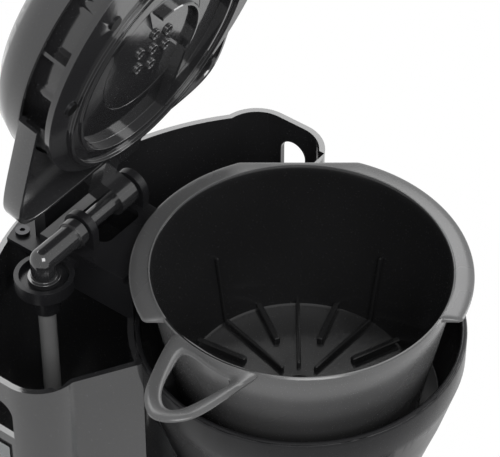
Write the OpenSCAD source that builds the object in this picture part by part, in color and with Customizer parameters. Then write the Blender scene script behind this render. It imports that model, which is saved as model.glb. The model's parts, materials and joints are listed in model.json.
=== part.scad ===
/* [Body] */
// Half width of the machine over the tank's rounded ends
half_w = 97; // [94:1:105]
// Wall thickness of the body, the base and the bowl
wall = 2.5; // [2:0.1:3]
// Height of the tank's and the bowl's rim above the table
rim_z = 225; // [222:1:232]
// Radius of the tank's rounded ends
end_r = 18; // [16:1:20]
// Radius of the arc of the back wall
back_r = 126; // [124:1:128]
// Height of the tank's floor, underside
tank_floor_z = 85; // [80:1:90]
// Thickness of the tank's floor
tank_floor_t = 3; // [2:0.5:4]

/* [Base] */
// Height of the feet under the base
foot_h = 3; // [2:0.5:4]
// Height of the base's top face
base_top = 38; // [37:1:39]
// Radius of the base round the warming plate
base_front_r = 68; // [67:1:72]
// Radius of the warming plate
plate_r = 54; // [52:1:55]
// Top face of the warming plate
plate_top = 40; // [39.5:0.5:41]
// Thickness of the warming plate
plate_t = 3.5; // [3:0.5:4]

/* [Bowl] */
// Outer radius of the bowl at its rim
bowl_r = 66; // [65.5:0.5:67]
// Underside of the bowl
bowl_bottom = 140; // [139:1:142]
// Radius of the drip opening in the bowl's bottom
drip_r = 16; // [15:1:20]

/* [Basket] */
// Height of the basket's rim above the table
basket_rim = 255; // [254:1:256]
// Room between the bowl's outer radius and the basket's inner one
basket_room = 7.5; // [7.5:0.5:9]
// Inner radius of the basket at its floor
basket_floor_r = 47; // [45:0.5:48]
// Inside depth of the basket
basket_depth = 67; // [66:0.5:67.5]
// Wall of the basket
basket_wall = 1.5; // [1.2:0.1:1.6]
// Reach of the basket's flange past the bowl's outer radius
flange_reach = 1; // [0:0.5:1]
// Turn of the basket in its bowl, from the front, in degrees
basket_turn = -52.5; // [-60:0.5:-45]

/* [Lid] */
// Opening angle of the lid at rest, in degrees
lid_open = 75; // [70:1:76]
// Distance of the hinge axis behind the basket's axis
hinge_y = 84; // [84:0.5:86]
// Height of the hinge axis above the table
hinge_z = 252.5; // [252:0.5:253.5]
// Outer radius of the lid's dome at its rim
lid_r = 64; // [63:0.5:66]
// Height of the dome's rim when closed
dome_z = 272; // [271:0.5:274]
// Height of the dome over its rim
dome_h = 25.5; // [25:0.5:28]
// Wall thickness of the dome
dome_t = 2.2; // [2:0.1:2.4]
// Outer radius of the lid's inner cover
cover_r = 65; // [64:0.5:66]
// Height of the inner cover's lower face when closed
cover_z = 257; // [257:0.5:258]
// Thickness of the inner cover
cover_t = 2.5; // [2:0.1:2.5]
// Outer radius of the cover's raised ridge
ridge_r = 51.5; // [50:0.5:51.5]
// Outer radius of the cover's round recess
cup_r = 45.5; // [45:0.5:45.5]
// Radius of the spray disc in the middle of the recess
spray_r = 28; // [26:0.5:30]
// Distance of the spray disc's centre ahead of the hinge axis
spray_reach = 76; // [75:0.5:77]
// Number of outer spray holes round the centre one
spray_count = 6; // [4:1:6]
// Outer radius of the hinge tube
tube_r = 3.8; // [3.6:0.1:3.8]

/* [Carafe] */
// Largest outer radius of the glass
glass_r = 60; // [56:1:62]
// Outer radius of the glass's neck
neck_r = 44; // [42:0.5:46]
// Top of the glass
glass_top = 128; // [126:1:128]
// Wall of the glass
glass_wall = 2; // [1.5:0.1:2.5]

/* [Fits] */
// Gap between pieces that move past each other
gap = 0.3; // [0.25:0.05:0.4]
// Radial running clearance of a hinge or a stem
run = 0.08; // [0.05:0.01:0.1]

/* [Hidden] */
$fn = 96;
front_y = -103.5; // foremost point: the carafe's handle
back_y = 136.5; // rearmost point: the cord gland
shift_y = -(front_y + back_y) / 2;
back_c = 4.5; // centre of the back wall's arc
end_y = [68, 82]; // centres of the rounded ends' two arcs
end_x = half_w - end_r;
base_floor = foot_h + wall;
basket_r = bowl_r - basket_room;
flange_r = bowl_r + flange_reach;
basket_floor = basket_rim - basket_depth;
basket_under = basket_floor - 2;
ledge_top = basket_under - gap; // the basket stands on it
boss_at = [[-70, 60], [70, 60], [-40, 108], [40, 108]]; // screw bosses in the base
foot_at = [[-72, 80], [72, 80], [-38, -38], [38, -38]];
foot_peg_r = 3;
screw_r = 1.6;
ring_r = plate_r + 3; // opening for the warming plate in the base's top
shoulder = [80, 50]; // corners of the flat walls between the tank's ends and the bowl
throat = [56, 35];
slot_y = 74; // finger slots in the tank's ends
slot_w = 13;
slot_top = 214;
slot_low = 196;
window_t = 0.8;

// Switch, lamp and cord gland
switch_w = 22;
switch_h = 16;
switch_z = 20;
lamp_x = 20;
lamp_r = 3;
gland_x = 30;
gland_y = 120;
gland_z = 20;
gland_r = 5;
rocker_y = -base_front_r + 3.5;
pivot_r = 1.5;

// Heater and hoses
heater_r = 36;
heater_w = 10;
heater_h = 8;
heater_z = plate_top - plate_t - heater_h;
tube_ring_r = 45;
tube_end_x = tube_ring_r * sin(40);
tube_end_y = tube_ring_r * cos(40);
tube_z = 32.5;
cold_x = tube_end_x;
bracket_t = 1.5;
bracket_z = heater_z - bracket_t;
hose_y = hinge_y;
hose_z = 24;
hose_from = tube_end_y + 4.5; // the hoses butt against the water tube's blocks
hose_r = 6;
hose_bore = 4;
clamp_t = 0.8;
clamp_w = 5;
valve_z = 50; // foot of the check valve
valve_h = 15;

// Riser, its bracket and the elbow above it
riser_x = -56;
riser_r = 3.6;
riser_bore = 2.4;
seat_z = hinge_z - 10.5; // the elbow stands here
riser_top = seat_z + 1;
bracket_cup_r = 12;
bracket_low = seat_z - 15;
bracket_top = seat_z + 3;
elbow_r = 5.2;
collar_r = 6.2;
socket_r = tube_r + 0.35;
socket_x = [-49, -35];
o_ring_x = [-46, -42];
o_ring_t = 0.35;

// Deck that carries the hinge
deck_x = [-40, 0];
deck_y = [57, 100];
deck_z = 243;
deck_t = 2.5;
deck_in_r = 61.5; // clears the basket
strap_x = [-36, -4];
strap_screw_x = [-30, -10];
strap_boss_y = [for (x = strap_screw_x) back_c + sqrt(pow(back_r - wall, 2) - x * x) - 5];
block = [18, 6, 18]; // raised rest behind the hinge
block_at = [-28, 108];
pocket_x = [-29, -6];
pocket_y = [75, 95];
pocket_r = 4;
ear_x = [-34.5, -3.5];
ear_t = 3.5;
ear_r = 7.5;

// Lid
cover_y = -5;
spray_y = hinge_y - spray_reach;
cup_top = cover_z + 5.5;
cup_floor_t = 2;
cup_wall = 1.5;
frame_r = 56; // ribbed wall between the cover and the dome
frame_z = cover_z + cover_t;
frame_top = 285.2;
rib_r = lid_r - dome_t - 0.1;
rib_top = dome_z + 5;
lid_boss_r = 3;
lid_screw_r = 1.5;
lid_screw_at = [[-54, -3], [54, -3], [-38, -38], [38, -38]];
hub_x = [-14, -4.2];
hub_w = hub_x[1] - hub_x[0];
tongue_w = 23;
tongue_end = hinge_y - 9;
hub_r = 6;
arm_x = [-13, -5];
arm_z = [264.2, 269];
arm_mid = (arm_x[0] + arm_x[1]) / 2;
arm_w = arm_x[1] - arm_x[0];
arm_t = arm_z[1] - arm_z[0];
arm_end = hinge_y + 2;
drop_x = 4; // the arm's end over the spray disc
drop_y = [2, 14];
water_r = 1.5;
hole_pitch = 9.5;
hole_r = 1.3;
hole_ring_r = 2.4;
spray_holes = concat([[0, 0]],
    [for (i = [0:spray_count - 1]) hole_pitch * [cos(360 / spray_count * i - 37), sin(360 / spray_count * i - 37)]]);
dome_line = [[0, 0], [0, 6], [3, 13], [10, 18.5], [22, 22.5], [40, 24.8]]; // inset and rise

// Basket and drip valve
wall_rib_at = [52, 128, 150, 30];
rib_t = 1.6;
valve_low = 150;
valve_bore = 8;
stem_r = 3.8;
spring_wire = 0.45;
spring_turns = 5;

// Carafe
carafe_z = plate_top + gap;
band_z = 118;
band_h = 9;
band_t = 1.5;
pin_r = 1.8;
pin_y = -neck_r - 8;
pin_z = band_z + band_h / 2;

black = [0.06, 0.06, 0.065];
grey = [0.35, 0.35, 0.36];
steel = [0.7, 0.7, 0.72];
silicone = [0.8, 0.8, 0.78];
clear = [0.75, 0.8, 0.82];

// Everything stands with the middle of its bounding box on the origin
module placed() { translate([0, shift_y, 0]) children(); }
module ring(r_out, r_in, h) {
    difference() {
        cylinder(r=r_out, h=h);
        translate([0, 0, -1]) cylinder(r=r_in, h=h + 2);
    }
}
module across(r, h) { rotate([0, 90, 0]) cylinder(r=r, h=h); }
module along(r, h) { rotate([-90, 0, 0]) cylinder(r=r, h=h); }

// Outline of the body seen from above, moved inwards by d
module plan(d=0) {
    intersection() {
        translate([0, back_c]) circle(r=back_r - d, $fn=180);
        translate([-end_x - 8, end_y[0] - 16]) square([2 * end_x + 16, 100]);
    }
    for (s = [-1, 1], y = end_y) translate([s * end_x, y]) circle(r=end_r - d);
    translate([-half_w + d, end_y[0]]) square([2 * (half_w - d), end_y[1] - end_y[0]]);
    polygon([[-shoulder[0], end_y[0]], [-shoulder[0], shoulder[1] + d], [-throat[0], throat[1] + d * 1.2],
        [throat[0], throat[1] + d * 1.2], [shoulder[0], shoulder[1] + d], [shoulder[0], end_y[0]]]);
}
module base_plan(d=0) {
    plan(d);
    circle(r=base_front_r - d);
    translate([-throat[0] + d, 20]) square([2 * (throat[0] - d), 20]);
}
// The tank's inside: the outline without the bowl
module tank_plan() difference() {
    plan(wall);
    circle(r=bowl_r + wall);
}

module base_shell() color(black) placed() difference() {
    union() {
        difference() {
            translate([0, 0, foot_h]) linear_extrude(base_top - foot_h) base_plan();
            translate([0, 0, foot_h - 1]) linear_extrude(base_top - foot_h + 1 - wall) base_plan(wall);
        }
        for (p = boss_at) translate([p[0], p[1], base_floor + gap])
            ring(4, screw_r, base_top - wall - base_floor - gap);
    }
    translate([0, 0, foot_h]) cylinder(r=ring_r, h=base_top);
    translate([riser_x - 8, hose_y - 8, foot_h]) cube([cold_x + hose_r - riser_x + 10, 20, base_top]);
    translate([-switch_w / 2, -base_front_r - 1, switch_z - switch_h / 2]) cube([switch_w, 12, switch_h]);
    translate([lamp_x, -base_front_r - 1, switch_z]) along(lamp_r, 20);
    translate([gland_x, gland_y, gland_z]) along(gland_r, 20);
}
module base_cover() color(black) placed() difference() {
    translate([0, 0, foot_h]) linear_extrude(wall) base_plan(wall + gap);
    for (p = boss_at) translate([p[0], p[1], 0]) {
        cylinder(r=screw_r, h=20);
        cylinder(r=3.4, h=foot_h + 1.2);
    }
    for (p = foot_at) translate([p[0], p[1], 0]) cylinder(r=foot_peg_r, h=20);
}
module feet() color("dimgray") placed() for (p = foot_at) translate([p[0], p[1], 0]) {
    cylinder(r=8, h=foot_h);
    cylinder(r=foot_peg_r, h=base_floor + 0.5);
    translate([0, 0, base_floor]) cylinder(r=4, h=1.5);
}
module base_screws() color(steel) placed() for (p = boss_at) translate([p[0], p[1], foot_h - 0.6]) {
    difference() {
        cylinder(r=3.2, h=1.8);
        translate([0, 0, -1]) cylinder(r=1.2, h=2, $fn=6);
    }
    cylinder(r=screw_r, h=16);
}

// Warming plate and what lies under it
module plate_ring() color(grey) placed() difference() {
    union() {
        translate([0, 0, base_top]) cylinder(r=ring_r + 3, h=1.5);
        translate([0, 0, base_top - 4]) cylinder(r=ring_r, h=5.5);
    }
    translate([0, 0, plate_top - plate_t]) cylinder(r=plate_r + 0.2, h=10);
    cylinder(r=plate_r - 4, h=100);
}
module warming_plate() color([0.12, 0.12, 0.12]) placed()
    translate([0, 0, plate_top - plate_t]) rotate_extrude($fn=120)
        polygon([[0, 0], [plate_r, 0], [plate_r, plate_t - 0.6], [plate_r - 0.6, plate_t], [plate_r - 3, plate_t],
            [plate_r - 4, plate_t - 0.6], [0, plate_t - 0.6]]);
module c_ring() rotate([0, 0, 130]) rotate_extrude(angle=280, $fn=96) children();
module heater() color(steel) placed() {
    c_ring() translate([heater_r - heater_w / 2, heater_z]) square([heater_w, heater_h]);
    for (s = [-1, 1]) translate([s * heater_r * sin(40) - 1, heater_r * cos(40) - 2, tube_z]) cube([2, 14, 1]);
}
module water_tube() color(steel) placed() {
    c_ring() translate([tube_ring_r, tube_z]) circle(r=4, $fn=32);
    for (s = [-1, 1]) translate([s * tube_end_x, tube_end_y, 0]) {
        translate([-4.5, -3, hose_z - 4.5]) cube([9, 7.5, tube_z - hose_z + 8.5]);
        translate([0, 4, hose_z]) along(4, 12);
    }
}
module plate_bracket() color(steel) placed() {
    translate([-53, -6, bracket_z]) cube([106, 12, bracket_t]);
    for (s = [-1, 1]) translate([s * 52 - 1, -6, bracket_z]) cube([2, 12, base_top - 4 - bracket_z]);
}
module thermostat() color("white") placed() translate([0, 0, plate_top - plate_t - 6]) {
    cylinder(r=8, h=6);
    for (s = [-1, 1]) translate([s * 8 - 3, -2.5, 1]) cube([6, 5, 0.8]);
}
module thermal_fuse() color("white") placed() translate([-8, -18, plate_top - plate_t - 2.5]) across(2.5, 16);

// Body, tank and bowl
module body_shell() color(black) placed() {
    difference() {
        translate([0, 0, base_top]) linear_extrude(rim_z - base_top) plan();
        translate([0, 0, base_top - 1]) linear_extrude(tank_floor_z - base_top + 1) tank_plan();
        translate([0, 0, tank_floor_z + tank_floor_t]) linear_extrude(200) tank_plan();
        translate([0, 0, base_top - 1]) cylinder(r=bowl_r, h=300, $fn=180);
        translate([riser_x, hinge_y, tank_floor_z - 1]) cylinder(r=riser_r, h=20);
        translate([cold_x, hose_y, tank_floor_z - 1]) cylinder(r=hose_bore - 1, h=20);
        for (s = [-1, 1]) grip_slot(s);
    }
    for (x = [riser_x, cold_x]) translate([x, hose_y, tank_floor_z - 12]) ring(hose_bore, 3, 12);
    for (i = [0, 1]) translate([strap_screw_x[i], strap_boss_y[i], rim_z - 20]) difference() {
        union() {
            cylinder(r=4, h=20);
            translate([-4, 0, 0]) cube([8, 6, 20]);
        }
        translate([0, 0, 6]) cylinder(r=lid_screw_r, h=20);
    }
}
module grip_slot(s) translate([s * half_w - 10, slot_y, 0]) {
    translate([0, 0, slot_top - slot_w / 2]) across(slot_w / 2, 20);
    translate([0, -slot_w / 2, slot_low]) cube([20, slot_w, slot_top - slot_low - slot_w / 2]);
}
// A clear level window on each end of the tank
module tank_windows() color(clear) placed() for (x = [-half_w - window_t, half_w])
    translate([x, 70, 140]) cube([window_t, 10, 50]);
module deck() color(black) placed() difference() {
    union() {
        translate([deck_x[0], deck_y[0], deck_z]) cube([deck_x[1] - deck_x[0], deck_y[1] - deck_y[0], deck_t]);
        difference() {
            intersection() {
                deck_walls();
                translate([deck_x[0], 0, 0]) cube([deck_x[1] - deck_x[0], 200, 300]);
            }
            cylinder(r=bowl_r, h=deck_z);
        }
        for (x = ear_x) translate([x, 0, 0]) {
            translate([0, hinge_y, hinge_z]) across(ear_r, ear_t);
            translate([0, hinge_y - ear_r, deck_z + 1]) cube([ear_t, 2 * ear_r, hinge_z - deck_z - 1]);
        }
        intersection() {
            translate([0, 0, rim_z]) linear_extrude(deck_t) plan(wall);
            translate([strap_x[0], deck_y[1] - wall, 0]) cube([strap_x[1] - strap_x[0], 60, 300]);
        }
        translate([block_at[0], block_at[1], rim_z + 1]) cube([block[0], block[1], block[2]]);
    }
    cylinder(r=deck_in_r, h=300);
    translate([deck_x[0] - 1, hinge_y, hinge_z]) across(tube_r + run, 60);
    for (i = [0, 1]) translate([strap_screw_x[i], strap_boss_y[i], 0]) cylinder(r=lid_screw_r, h=300);
    translate([0, 0, deck_z - 1]) linear_extrude(deck_t + 2) pocket_plan();
}
// Walls under the deck: the arc over the bowl's edge, the two sides and the back
module deck_walls() {
    translate([0, 0, rim_z]) ring(bowl_r + wall, bowl_r, deck_z - rim_z + 0.5);
    for (x = [deck_x[0], deck_x[1] - wall]) translate([x, bowl_r - 12, rim_z])
        cube([wall, deck_y[1] - bowl_r + 12, deck_z - rim_z + 0.5]);
    translate([deck_x[0], deck_y[1] - wall, rim_z]) cube([deck_x[1] - deck_x[0], wall, deck_z - rim_z + 0.5]);
}
module pocket_plan() {
    translate([pocket_x[0] + pocket_r, pocket_y[0]])
        square([pocket_x[1] - pocket_x[0] - 2 * pocket_r, pocket_y[1] - pocket_y[0]]);
    translate([pocket_x[0], pocket_y[0] + pocket_r])
        square([pocket_x[1] - pocket_x[0], pocket_y[1] - pocket_y[0] - 2 * pocket_r]);
    for (x = [pocket_x[0] + pocket_r, pocket_x[1] - pocket_r], y = [pocket_y[0] + pocket_r, pocket_y[1] - pocket_r])
        translate([x, y]) circle(r=pocket_r);
}
module deck_screws() color(steel) placed() for (i = [0, 1])
    translate([strap_screw_x[i], strap_boss_y[i], rim_z - 12]) {
        cylinder(r=lid_screw_r, h=12 + deck_t);
        translate([0, 0, 12 + deck_t]) difference() {
            cylinder(r=3, h=1.8);
            translate([0, 0, 0.8]) cylinder(r=1.2, h=2, $fn=6);
        }
    }
module bowl_housing() color(black) placed()
    rotate_extrude($fn=180) polygon([[drip_r, bowl_bottom], [bowl_r - 28, bowl_bottom],
        [bowl_r - 18, bowl_bottom + 16], [bowl_r - 11.5, bowl_bottom + 31], [bowl_r - 6, bowl_bottom + 49],
        [bowl_r - 1, rim_z - 17], [bowl_r, rim_z - 13], [bowl_r, rim_z - 1], [bowl_r - 1, rim_z],
        [bowl_r - wall, rim_z], [bowl_r - wall, rim_z - 15], [bowl_r - 9, ledge_top], [bowl_r - 22, ledge_top],
        [bowl_r - 22, ledge_top - 2], [bowl_r - 10.5, ledge_top - 2], [bowl_r - 13.8, bowl_bottom + 32],
        [bowl_r - 20.2, bowl_bottom + 17.5], [bowl_r - 29.5, bowl_bottom + wall], [drip_r, bowl_bottom + wall]]);

// Hoses, clamps and the check valve
module cold_hose_lower() color(silicone) placed() difference() {
    union() {
        translate([cold_x, hose_from, hose_z]) along(hose_r, hose_y - hose_from);
        translate([cold_x, hose_y, hose_z]) sphere(r=hose_r, $fn=48);
        translate([cold_x, hose_y, hose_z]) cylinder(r=hose_r, h=valve_z - hose_z);
    }
    translate([cold_x, tube_end_y + 3, hose_z]) along(hose_bore, hose_y - tube_end_y - 3);
    translate([cold_x, hose_y, hose_z]) cylinder(r=hose_bore, h=30);
}
module cold_hose_upper() color(silicone) placed() translate([cold_x, hose_y, valve_z + valve_h])
    ring(hose_r, hose_bore, tank_floor_z - valve_z - valve_h - gap);
module check_valve_body() color("ivory") placed() translate([cold_x, hose_y, valve_z]) rotate_extrude($fn=64)
    polygon([[2.5, -6], [hose_bore, -6], [hose_bore, 0], [8, 0], [8, valve_h], [hose_bore, valve_h],
        [hose_bore, valve_h + 6], [2.5, valve_h + 6], [2.5, valve_h - 2], [5.2, valve_h - 2], [5.2, 2], [2.5, 2]]);
module check_ball() color("white") placed() translate([cold_x, hose_y, valve_z + 6.5]) sphere(r=4, $fn=64);
module hot_hose() color(silicone) placed() difference() {
    union() {
        translate([-tube_end_x, hose_from, hose_z]) along(hose_r, hose_y - hose_from);
        translate([-tube_end_x, hose_y, hose_z]) sphere(r=hose_r, $fn=48);
        translate([riser_x, hose_y, hose_z]) across(hose_r, -riser_x - tube_end_x);
        translate([riser_x, hose_y, hose_z]) sphere(r=hose_r, $fn=48);
        translate([riser_x, hose_y, hose_z]) cylinder(r=hose_r, h=tank_floor_z - hose_z - gap);
    }
    translate([-tube_end_x, tube_end_y + 3, hose_z]) along(hose_bore, hose_y - tube_end_y - 3);
    translate([riser_x, hose_y, hose_z]) across(hose_bore, -riser_x - tube_end_x);
    translate([riser_x, hose_y, hose_z]) cylinder(r=hose_bore, h=100);
}
module hose_clamps() color(steel) placed() {
    for (s = [-1, 1]) translate([s * tube_end_x, tube_end_y + 8, hose_z]) rotate([-90, 0, 0])
        ring(hose_r + clamp_t, hose_r, clamp_w);
    for (z = [valve_z - 6, valve_z + valve_h + 3]) translate([cold_x, hose_y, z])
        ring(hose_r + clamp_t, hose_r, clamp_w);
    translate([riser_x, hose_y, tank_floor_z - 10]) ring(hose_r + clamp_t, hose_r, clamp_w);
}

// Riser, its bracket and the elbow that turns the water into the hinge
module riser() color(grey) placed() translate([riser_x, hinge_y, tank_floor_z])
    ring(riser_r, riser_bore, riser_top - tank_floor_z);
module riser_bracket() color(black) placed() difference() {
    union() {
        translate([riser_x, hinge_y, bracket_low]) cylinder(r=6, h=bracket_top - bracket_low);
        translate([riser_x, hinge_y, seat_z - 3]) cylinder(r=bracket_cup_r, h=bracket_top - seat_z + 3);
        translate([riser_x, hinge_y - 4, seat_z - 3]) cube([deck_x[0] - riser_x, 8, 3]);
    }
    translate([riser_x, hinge_y, bracket_low - 1]) cylinder(r=riser_r, h=30);
    translate([riser_x, hinge_y, seat_z]) cylinder(r=bracket_cup_r - 2, h=10);
}
module elbow() color(black) placed() difference() {
    union() {
        translate([riser_x, hinge_y, seat_z]) cylinder(r=elbow_r, h=hinge_z - seat_z);
        translate([riser_x, hinge_y, seat_z]) cylinder(r=elbow_r + 1.5, h=2.5);
        translate([riser_x, hinge_y, hinge_z]) sphere(r=elbow_r, $fn=64);
        translate([riser_x, hinge_y, hinge_z]) across(elbow_r, socket_x[1] - riser_x);
        translate([socket_x[1] - 4.5, hinge_y, hinge_z]) across(collar_r, 4.5);
    }
    translate([riser_x, hinge_y, seat_z - 1]) cylinder(r=riser_r, h=riser_top - seat_z + 1);
    translate([riser_x, hinge_y, seat_z]) cylinder(r=riser_bore, h=hinge_z - seat_z);
    translate([riser_x, hinge_y, hinge_z]) across(riser_bore, socket_x[0] - riser_x + 1);
    translate([socket_x[0], hinge_y, hinge_z]) across(socket_r, socket_x[1] - socket_x[0] + 1);
}
module o_rings() color("dimgray") placed() for (x = o_ring_x) translate([x, hinge_y, hinge_z]) o_ring();
module o_ring() rotate([0, 90, 0]) rotate_extrude($fn=64) translate([tube_r - 0.05, 0]) circle(r=o_ring_t, $fn=24);

// Lid: drawn closed, then opened about the hinge axis
module lid_pose() placed() translate([0, hinge_y, hinge_z]) rotate([-lid_open, 0, 0])
    translate([0, -hinge_y, -hinge_z]) children();
module hinge_tube() color(black) lid_pose() difference() {
    translate([socket_x[0] + 1, hinge_y, hinge_z]) across(tube_r, deck_x[1] - socket_x[0] - 1);
    translate([socket_x[0], hinge_y, hinge_z]) across(2, arm_mid + water_r - socket_x[0]);
    translate([arm_mid, hinge_y, hinge_z]) cylinder(r=water_r, h=10);
    for (x = o_ring_x) translate([x, hinge_y, hinge_z]) o_ring();
}
module lid_shell() color(black) lid_pose() rotate_extrude($fn=144) polygon(concat(
    [for (p = dome_line) [lid_r - p[0], dome_z + p[1]]],
    [[0, dome_z + dome_h], [0, dome_z + dome_h - dome_t]],
    [for (i = [len(dome_line) - 1:-1:0]) let (p = dome_line[i])
        [lid_r - dome_t - p[0] * 0.96, dome_z + (i == 0 ? 0 : p[1] - dome_t * min(1, i * 0.35))]]));
module lid_cover() color(grey) lid_pose() difference() {
    union() {
        difference() {
            translate([0, cover_y, cover_z]) cylinder(r=cover_r, h=cover_t, $fn=144);
            translate([0, spray_y, cover_z - 1]) cylinder(r=cup_r - 1, h=cover_t + 2);
        }
        translate([0, spray_y, cover_z - 1.4]) ring(ridge_r, ridge_r - 1.6, 1.6);
        translate([0, spray_y, cover_z - 0.8]) ring(cup_r, cup_r - cup_wall, cup_top - cover_z + 0.8);
        translate([0, spray_y, cup_top - cup_floor_t]) cylinder(r=cup_r - 0.5, h=cup_floor_t);
    }
    translate([0, spray_y, cover_z]) cylinder(r=spray_r, h=20);
    for (p = lid_screw_at) translate([p[0], p[1], cover_z - 5]) {
        cylinder(r=lid_screw_r, h=22);
        cylinder(r=2.9, h=6);
    }
}
// The ribbed wall and the hub that join the cover and the dome to the hinge
module lid_frame() color(black) lid_pose() difference() {
    union() {
        translate([0, 0, frame_z]) ring(frame_r, frame_r - 2.2, frame_top - frame_z);
        for (a = [22.5:45:350]) rotate([0, 0, a])
            translate([frame_r - 0.5, -rib_t / 2, frame_z]) cube([rib_r - frame_r + 0.5, rib_t, rib_top - frame_z]);
        for (p = lid_screw_at) translate([p[0], p[1], frame_z]) cylinder(r=lid_boss_r, h=12.5);
        translate([hub_x[0], frame_r - 2, frame_z]) cube([tongue_w, tongue_end - frame_r + 2, arm_z[0] - frame_z]);
        translate([hub_x[0], frame_r, frame_z]) cube([hub_w, hinge_y - frame_r, arm_z[0] - frame_z]);
        translate([hub_x[0], hinge_y - hub_r, hinge_z]) cube([hub_w, 2 * hub_r - 1, arm_z[0] - hinge_z]);
        translate([hub_x[0], hinge_y, hinge_z]) across(hub_r, hub_w);
    }
    translate([hub_x[0] - 1, hinge_y, hinge_z]) across(tube_r, 20);
    translate([arm_mid, hinge_y, hinge_z]) cylinder(r=water_r, h=20);
    translate([arm_x[0] - gap, frame_r - 6, arm_z[0]]) cube([arm_w + 2 * gap, 40, arm_t + gap]);
    for (p = lid_screw_at) translate([p[0], p[1], frame_z - 1]) cylinder(r=lid_screw_r, h=12);
}
module spray_disc() color(black) lid_pose() difference() {
    union() {
        translate([0, spray_y, cup_top - cup_floor_t]) cylinder(r=spray_r - 0.2, h=cup_floor_t);
        translate([0, spray_y, cup_top]) ring(spray_r + 2, spray_r - 2, 1.5);
        for (h = spray_holes) translate([h[0], spray_y + h[1], cup_top - cup_floor_t - 0.6])
            cylinder(r=hole_ring_r, h=1.5, $fn=32);
    }
    for (h = spray_holes) translate([h[0], spray_y + h[1], cup_top - 4]) cylinder(r=hole_r, h=8, $fn=32);
}
module water_arm() color(black) lid_pose() difference() {
    union() {
        translate([arm_x[0], drop_y[0] + 6, arm_z[0]]) cube([arm_w, arm_end - drop_y[0] - 6, arm_t]);
        translate([arm_x[0], drop_y[0], cup_top])
            cube([drop_x - arm_x[0], drop_y[1] - drop_y[0], arm_z[1] - cup_top]);
    }
    translate([arm_x[0] + 2, drop_y[0] + 8, arm_z[0] + 1.6]) cube([arm_w - 4, arm_end - drop_y[0] - 10.5, 1.8]);
    translate([arm_x[0] + 2, drop_y[0] + 2, cup_top - 1])
        cube([drop_x - arm_x[0] - 4, drop_y[1] - drop_y[0] - 4, 5]);
    translate([arm_mid, hinge_y - water_r, arm_z[0] - 1]) cylinder(r=water_r, h=3);
}
module lid_screws() color(steel) lid_pose() for (p = lid_screw_at) translate([p[0], p[1], cover_z - 0.8]) {
    cylinder(r=lid_screw_r, h=13);
    difference() {
        cylinder(r=2.8, h=1.8);
        translate([0, 0, -0.5]) cylinder(r=1.1, h=1.5, $fn=6);
    }
}

// Basket: drawn with its handle at the front left, then turned in the bowl
module basket_pose() placed() rotate([0, 0, basket_turn]) children();
module flange_plan() intersection() {
    difference() { circle(r=flange_r, $fn=144); circle(r=basket_r + 0.2, $fn=144); }
    polygon([[-60, -29], [-48, -29], [-30, 0], [30, 0], [50, -28], [60, -28], [80, 0], [80, 62.5], [-80, 62.5], [-80, 0]]);
}
module handle_plan() difference() {
    polygon([[-44, -38], [-48, -33], [-52, -42], [-57, -56], [-59.5, -66], [-58, -75], [-54, -79], [-47, -80], [-39, -78],
        [-25, -65], [-16, -57], [-19, -55], [-32, -49]]);
    polygon([[-43, -45.5], [-46, -46], [-49, -53], [-52, -61], [-53, -68], [-51.5, -74], [-47, -75], [-41, -72],
        [-31, -64.5], [-26, -60.5], [-34, -55]]);
    circle(r=basket_r + 0.2, $fn=144);
}
module basket() color(grey) basket_pose() difference() {
    union() {
        rotate_extrude($fn=144) polygon([[6, basket_under], [basket_floor_r + basket_wall, basket_under],
            [basket_r + basket_wall, basket_rim - 4], [basket_r + basket_wall, basket_rim], [basket_r, basket_rim],
            [basket_r - 0.2, basket_rim - 4], [basket_floor_r, basket_floor], [6, basket_floor]]);
        translate([0, 0, basket_rim - 2]) linear_extrude(2) flange_plan();
        translate([0, 0, basket_rim - 2.5]) linear_extrude(2.5) handle_plan();
        for (a = [0:30:330]) rotate([0, 0, a + 8]) translate([16, -rib_t / 2, basket_floor - 0.5])
            cube([basket_floor_r - 20, rib_t, 3]);
        for (a = wall_rib_at) rotate([0, 0, a]) translate([basket_floor_r - 8, -rib_t / 2, basket_floor - 0.5])
            cube([8.4, rib_t, 18]);
    }
    translate([0, 0, basket_under - 1]) cylinder(r=6, h=10);
}
module valve_body() color(black) basket_pose() rotate_extrude($fn=72)
    polygon([[stem_r + run, valve_low], [12, valve_low], [12, 181], [16, 183], [16, basket_under], [6, basket_under],
        [6, basket_under - 1.5], [valve_bore, basket_under - 1.5], [valve_bore, valve_low + 3], [stem_r + run, valve_low + 3]]);
module valve_plunger() color("ivory") basket_pose() {
    translate([0, 0, valve_low - 11]) cylinder(r=stem_r, h=19.2);
    translate([0, 0, valve_low + 5.2]) cylinder(r=7, h=3);
    translate([0, 0, valve_low + 8]) cylinder(r=2.2, h=14);
}
module valve_seal() color("darkred") basket_pose() translate([0, 0, valve_low + 3.2]) ring(6.8, stem_r, 2);
module valve_spring() color(steel) basket_pose()
    spring(4, spring_wire, valve_low + 8.2 + spring_wire, basket_under - 1.5 - spring_wire - gap, spring_turns);
// Helical spring swept with six sides
module spring(r, w, z0, z1, turns) {
    n = turns * 16;
    s = 6;
    pts = [for (i = [0:n]) let (a = 360 * i / 16, z = z0 + (z1 - z0) * i / n)
        for (k = [0:s - 1]) let (b = 360 * k / s) [(r + w * cos(b)) * cos(a), (r + w * cos(b)) * sin(a), z + w * sin(b)]];
    polyhedron(pts, concat([[for (k = [0:s - 1]) k]], [[for (k = [s - 1:-1:0]) n * s + k]],
        [for (i = [0:n - 1], k = [0:s - 1]) [i * s + k, (i + 1) * s + k, (i + 1) * s + (k + 1) % s, i * s + (k + 1) % s]]));
}

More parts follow.
